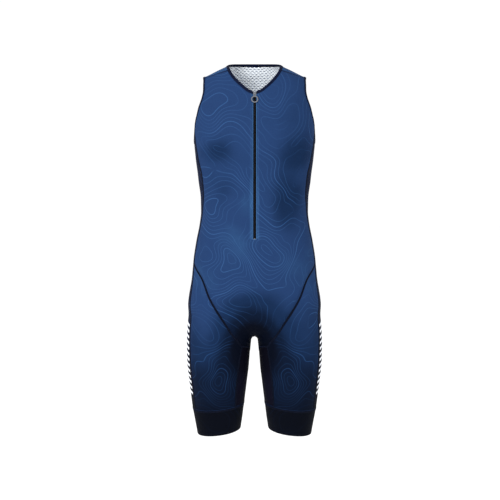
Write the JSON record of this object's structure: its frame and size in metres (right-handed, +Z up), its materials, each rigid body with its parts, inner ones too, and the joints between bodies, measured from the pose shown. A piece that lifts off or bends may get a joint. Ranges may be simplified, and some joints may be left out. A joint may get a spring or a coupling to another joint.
{
  "type": "sleeveless cycling suit",
  "caption": "One-piece sleeveless cycling suit with short legs, bound neck and armholes, dark side strips, hem grippers and a front zip with a ring pull, filled out as worn.",
  "frame": {"origin": "between the shoulders, where the wearer carries the suit, at the height of the neck opening's top edge", "axes": "+Z up along the body, +X to the wearer's left, the front faces -Y"},
  "size_m": [0.355, 0.242, 0.9659],
  "materials": {
    "printed_cloth": "printed stretch knit, matte",
    "back_cloth": "printed stretch knit outside, white mesh inside",
    "dark_cloth": "dark printed stretch knit",
    "cuff_cloth": "dark power band",
    "binding": "folded elastic binding",
    "zip_tape": "woven tape",
    "zip_chain": "coil teeth",
    "zip_metal": "plated, satin"
  },
  "bodies": {
    "suit": {"front": "printed_cloth", "back": "back_cloth", "side_left": "dark_cloth", "side_right": "dark_cloth", "thigh_front_left": "printed_cloth", "thigh_front_right": "printed_cloth", "thigh_back_left": "printed_cloth", "thigh_back_right": "printed_cloth", "inner_thigh_left": "dark_cloth", "inner_thigh_right": "dark_cloth", "cuff_left": "cuff_cloth", "cuff_right": "cuff_cloth", "neck_binding": "binding", "armhole_binding_left": "binding", "armhole_binding_right": "binding", "zip_tape_left": "zip_tape", "zip_tape_right": "zip_tape", "zip_chain": "zip_chain", "zip_slider": "zip_metal", "zip_stop": "zip_metal"},
    "zip_pull": {"zip_pull": "zip_metal"}
  },
  "joints": [
    {"name": "zip_pull_hinge", "type": "hinge", "parent": "suit", "child": "zip_pull", "pos_m": [0, -0.08896, -0.07281], "axis": [-1, 0, 0], "range_deg": [0, 165]}
  ]
}
